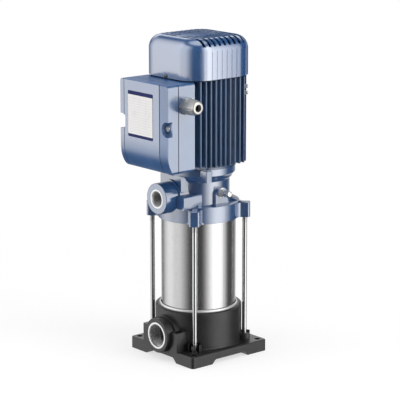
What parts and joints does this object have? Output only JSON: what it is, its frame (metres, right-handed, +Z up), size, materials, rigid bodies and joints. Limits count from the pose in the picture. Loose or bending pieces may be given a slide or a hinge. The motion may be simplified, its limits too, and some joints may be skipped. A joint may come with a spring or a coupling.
{
  "type": "vertical multistage pump",
  "caption": "Upright inline pump: cast base with threaded suction port, steel sleeve held by tie rods, cast head with threaded discharge port and vent, finned motor with terminal box.",
  "frame": {"origin": "on the shaft axis at the underside of the base plate, the centre of the four foot holes", "axes": "+Z up along the shaft, -Y the way both ports and the terminal box face, +X the way the vent screw and the cable gland face"},
  "size_m": [0.1782, 0.2017, 0.5478],
  "materials": {
    "black_cast_iron": "black coated grey iron casting, semi-gloss",
    "bright_ring": "bright machined ring",
    "polished_stainless": "polished drawn stainless tube",
    "blue_cast_iron": "blue gloss enamel on a casting",
    "stainless_bar": "drawn stainless bar",
    "dark_fastener": "blackened steel fastener",
    "plated_plug": "nickel plated",
    "bright_knob": "polished nickel",
    "navy_aluminium": "die-cast aluminium painted dark blue",
    "blue_steel_sheet": "blue gloss enamel on pressed sheet",
    "box_plastic": "blue-grey moulded plastic, satin",
    "plate_white": "white foil with ruled bands",
    "gland_nickel": "satin nickel",
    "pressed_stainless": "pressed stainless sheet",
    "bush_carbon": "carbon bush",
    "stage_plastic": "glass-filled moulding",
    "seal_ceramic": "lapped ceramic",
    "seal_rubber": "black nitrile rubber",
    "lamination_steel": "stacked laminations",
    "winding_copper": "varnished copper winding",
    "bearing_steel": "ground bearing steel",
    "board_plastic": "moulded phenolic board",
    "stud_brass": "brass studs",
    "capacitor_can": "white moulded can",
    "shaft_steel": "turned stainless",
    "fan_plastic": "black moulded fan"
  },
  "bodies": {
    "pump_body": {"base_casing": "black_cast_iron", "foot_ring": "bright_ring", "outer_sleeve": "polished_stainless", "discharge_head": "blue_cast_iron", "tie_rods": "stainless_bar", "tie_rod_washers": "dark_fastener", "tie_rod_nuts": "dark_fastener", "drain_plug": "plated_plug", "vent_plug": "plated_plug", "motor_screws": "dark_fastener", "lower_shield": "navy_aluminium", "motor_frame": "navy_aluminium", "upper_shield": "navy_aluminium", "shield_bolts": "dark_fastener", "fan_cover": "blue_steel_sheet", "fan_cover_screws": "dark_fastener", "terminal_box_base": "box_plastic", "terminal_box_cover": "box_plastic", "box_screws": "plated_plug", "rating_plate": "plate_white", "cable_gland": "gland_nickel", "gland_nut": "gland_nickel", "inlet_plate": "pressed_stainless", "guide_bush": "bush_carbon", "diffusers": "stage_plastic", "stack_ring": "pressed_stainless", "seal_seat": "seal_ceramic", "sleeve_gaskets": "seal_rubber", "stator_core": "lamination_steel", "stator_windings": "winding_copper", "bearing_outer_rings": "bearing_steel", "box_gasket": "seal_rubber", "terminal_board": "board_plastic", "terminal_studs": "stud_brass", "run_capacitor": "capacitor_can", "gland_seal": "seal_rubber"},
    "rotor": {"shaft": "shaft_steel", "rotor_core": "lamination_steel", "fan": "fan_plastic", "fan_clip": "bearing_steel", "bearing_inner_rings": "bearing_steel", "bearing_balls": "bearing_steel", "impellers": "stage_plastic", "shaft_sleeves": "shaft_steel", "shaft_nut": "shaft_steel", "seal_head": "seal_ceramic", "seal_bellows": "seal_rubber", "slinger": "seal_rubber"},
    "vent_screw": {"vent_screw": "bright_knob"}
  },
  "joints": [
    {"name": "rotor_spin", "type": "hinge", "parent": "pump_body", "child": "rotor", "pos_m": [0, 0, 0.3], "axis": [0, 0, 1], "continuous": true},
    {"name": "vent_turn", "type": "hinge", "parent": "pump_body", "child": "vent_screw", "pos_m": [0.06, 0.0013, 0.2865], "axis": [1, 0, 0], "range_deg": [0, 360]}
  ]
}
